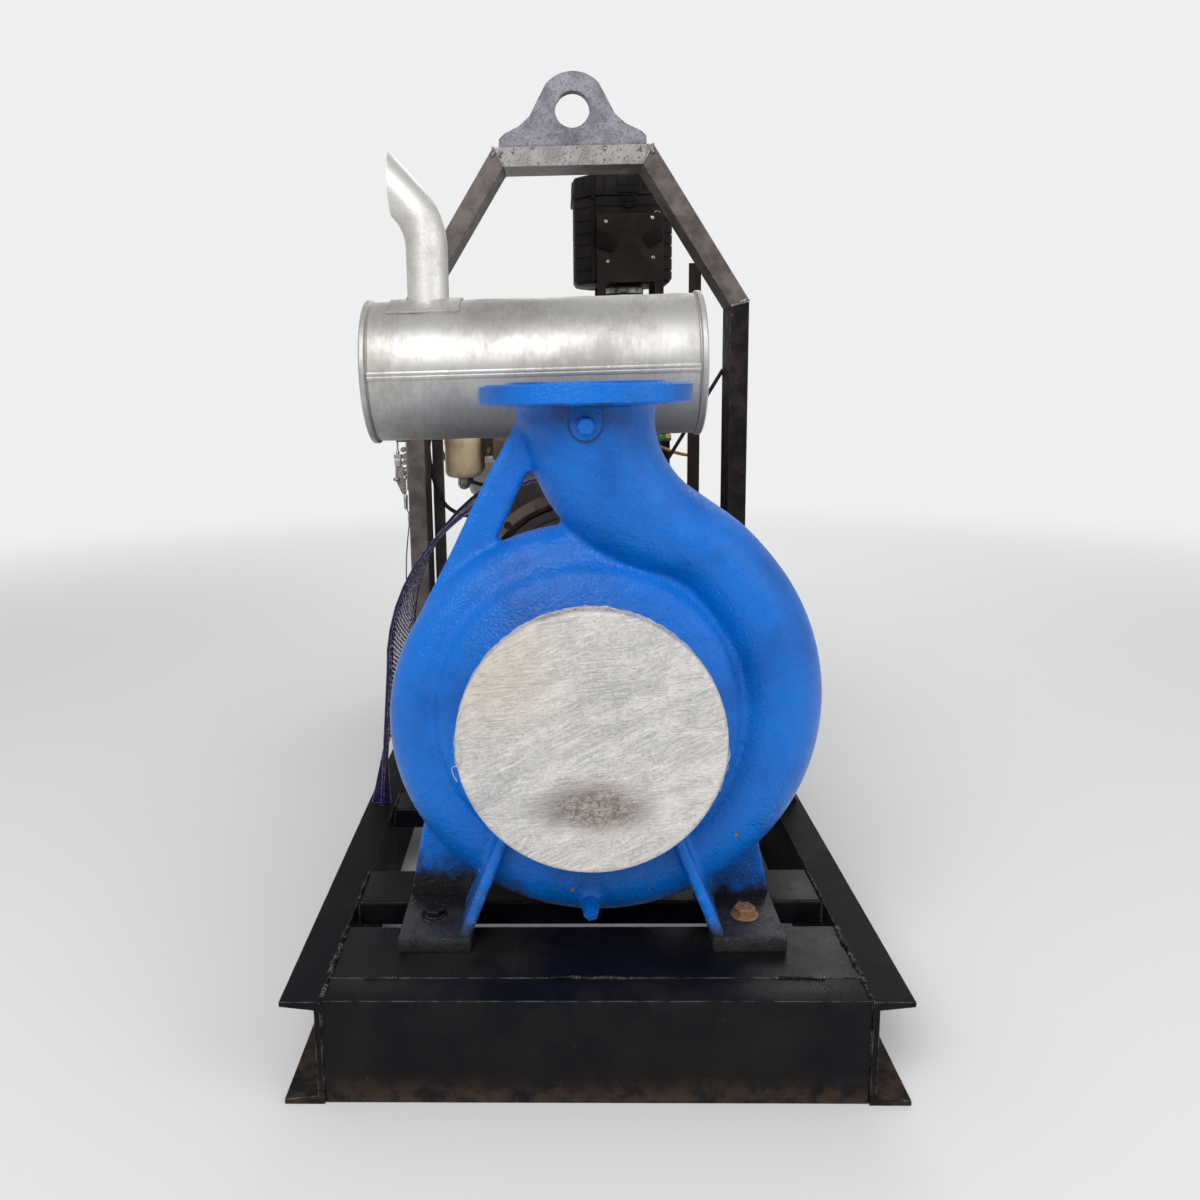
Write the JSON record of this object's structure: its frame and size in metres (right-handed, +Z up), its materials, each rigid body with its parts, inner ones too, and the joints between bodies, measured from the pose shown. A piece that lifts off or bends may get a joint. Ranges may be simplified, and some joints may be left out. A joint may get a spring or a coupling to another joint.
{
  "type": "engine-driven centrifugal water pump set",
  "caption": "Skid-mounted end-suction volute water pump driven through a guarded coupling by a diesel engine, with a silencer, a radiator and a lifting frame.",
  "frame": {"origin": "on the floor under the middle of the skid", "axes": "+Z up; +Y from the pump's suction end towards the radiator; +X to the right seen from the suction end"},
  "size_m": [0.8, 2.09, 1.5383],
  "materials": {
    "black_plastic": "black moulded plastic",
    "black_rubber": "black rubber",
    "canister_paint": "cream painted canister",
    "engine_iron": "grey painted cast iron",
    "frame_paint": "thin grey paint over mill steel",
    "guard_paint": "dark violet blue paint, worn",
    "lug_paint": "silver paint over rough steel",
    "pump_paint": "bright blue enamel over rough cast iron",
    "shaft_steel": "bare turned steel",
    "silencer_metal": "aluminised sheet steel",
    "skid_paint": "gloss black paint, worn bright along the edges",
    "wrap_film": "crinkled white stretch film"
  },
  "bodies": {
    "root": {"air_filter_body": "black_plastic", "air_filter_duct": "black_rubber", "air_filter_lid": "black_plastic", "air_filter_stand": "frame_paint", "alternator": "engine_iron", "bearing_bracket": "pump_paint", "bearing_foot": "pump_paint", "coupling": "engine_iron", "crank_pulley": "engine_iron", "cross_bar_bearing_foot": "skid_paint", "cross_bar_engine_front": "skid_paint", "cross_bar_engine_rear": "skid_paint", "cross_bar_lifting_frame": "skid_paint", "cross_bar_pump_feet": "skid_paint", "cross_bar_radiator": "skid_paint", "cylinder_head": "engine_iron", "drain_plug": "pump_paint", "engine_block": "engine_iron", "exhaust_manifold": "engine_iron", "exhaust_pipe": "engine_iron", "exhaust_stack": "silencer_metal", "fan_belt": "black_rubber", "fan_shroud": "black_plastic", "flywheel_housing": "engine_iron", "fuel_filters": "canister_paint", "guard_front_hoop": "guard_paint", "guard_mesh": "guard_paint", "guard_rear_hoop": "guard_paint", "intake_manifold": "engine_iron", "lifting_beam": "frame_paint", "lifting_brace_left": "frame_paint", "lifting_brace_right": "frame_paint", "lifting_lug": "lug_paint", "lifting_post_left": "frame_paint", "lifting_post_right": "frame_paint", "neck_plug": "pump_paint", "oil_filter": "engine_iron", "oil_sump": "engine_iron", "pump_casing": "pump_paint", "pump_foot_plate": "skid_paint", "pump_shaft": "shaft_steel", "radiator_bottom_hose": "black_rubber", "radiator_core": "engine_iron", "radiator_fan": "black_plastic", "radiator_frame": "skid_paint", "radiator_top_hose": "black_rubber", "radiator_top_tank": "skid_paint", "rocker_cover": "engine_iron", "silencer": "silencer_metal", "silencer_arm_left": "frame_paint", "silencer_arm_right": "frame_paint", "skid_front_channel": "skid_paint", "skid_rail_left": "skid_paint", "skid_rail_right": "skid_paint", "skid_rear_channel": "skid_paint", "starter_motor": "engine_iron", "suction_film_wrap": "wrap_film", "throttle_linkage": "frame_paint", "timing_case": "engine_iron"}
  },
  "joints": []
}
